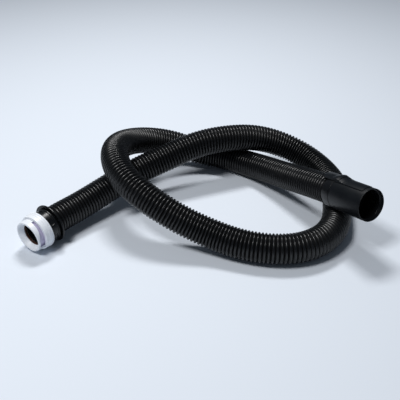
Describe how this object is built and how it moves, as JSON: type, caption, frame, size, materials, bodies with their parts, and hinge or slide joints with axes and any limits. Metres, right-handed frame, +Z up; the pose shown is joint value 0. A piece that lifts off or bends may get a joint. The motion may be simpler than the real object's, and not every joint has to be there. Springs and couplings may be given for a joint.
{
  "type": "vacuum cleaner hose",
  "caption": "Black corrugated vacuum cleaner hose lying as a loose knot, with a white swivelling bayonet inlet and a black wand cuff with a rocking latch.",
  "frame": {"origin": "on the floor, under the middle of the box round the two end fittings", "axes": "+Z up, +X from the inlet towards the wand cuff, -Y towards the two mouths"},
  "size_m": [0.4604, 0.2866, 0.097],
  "materials": {
    "hose_black": "satin",
    "gloss_black": "gloss",
    "cuff_black": "satin",
    "latch_black": "satin",
    "collar_white": "satin",
    "seal_rubber": "matte",
    "spring_steel": "bright"
  },
  "bodies": {
    "hose_body": {"hose": "hose_black", "hose_connector": "gloss_black", "swivel_ring": "spring_steel", "flange_ring": "gloss_black", "cuff_insert": "gloss_black", "wand_cuff": "cuff_black", "latch_pin": "spring_steel", "latch_spring": "spring_steel"},
    "inlet_collar": {"inlet_nozzle": "collar_white", "inlet_seal": "seal_rubber", "inlet_sleeve": "gloss_black"},
    "latch": {"latch_lever": "latch_black"}
  },
  "joints": [
    {"name": "inlet_swivel", "type": "hinge", "parent": "hose_body", "child": "inlet_collar", "pos_m": [-0.1901, 0.0018, 0.02591], "axis": [-0.5985, -0.8, -0.0436], "continuous": true},
    {"name": "latch_press", "type": "hinge", "parent": "hose_body", "child": "latch", "pos_m": [0.18368, 0.01569, 0.08427], "axis": [-0.8607, -0.509, 0], "range_deg": [0, 3.5], "stiffness_Nm_per_rad": 1, "springref_deg": -2.86, "deforming": ["latch_spring"]}
  ]
}
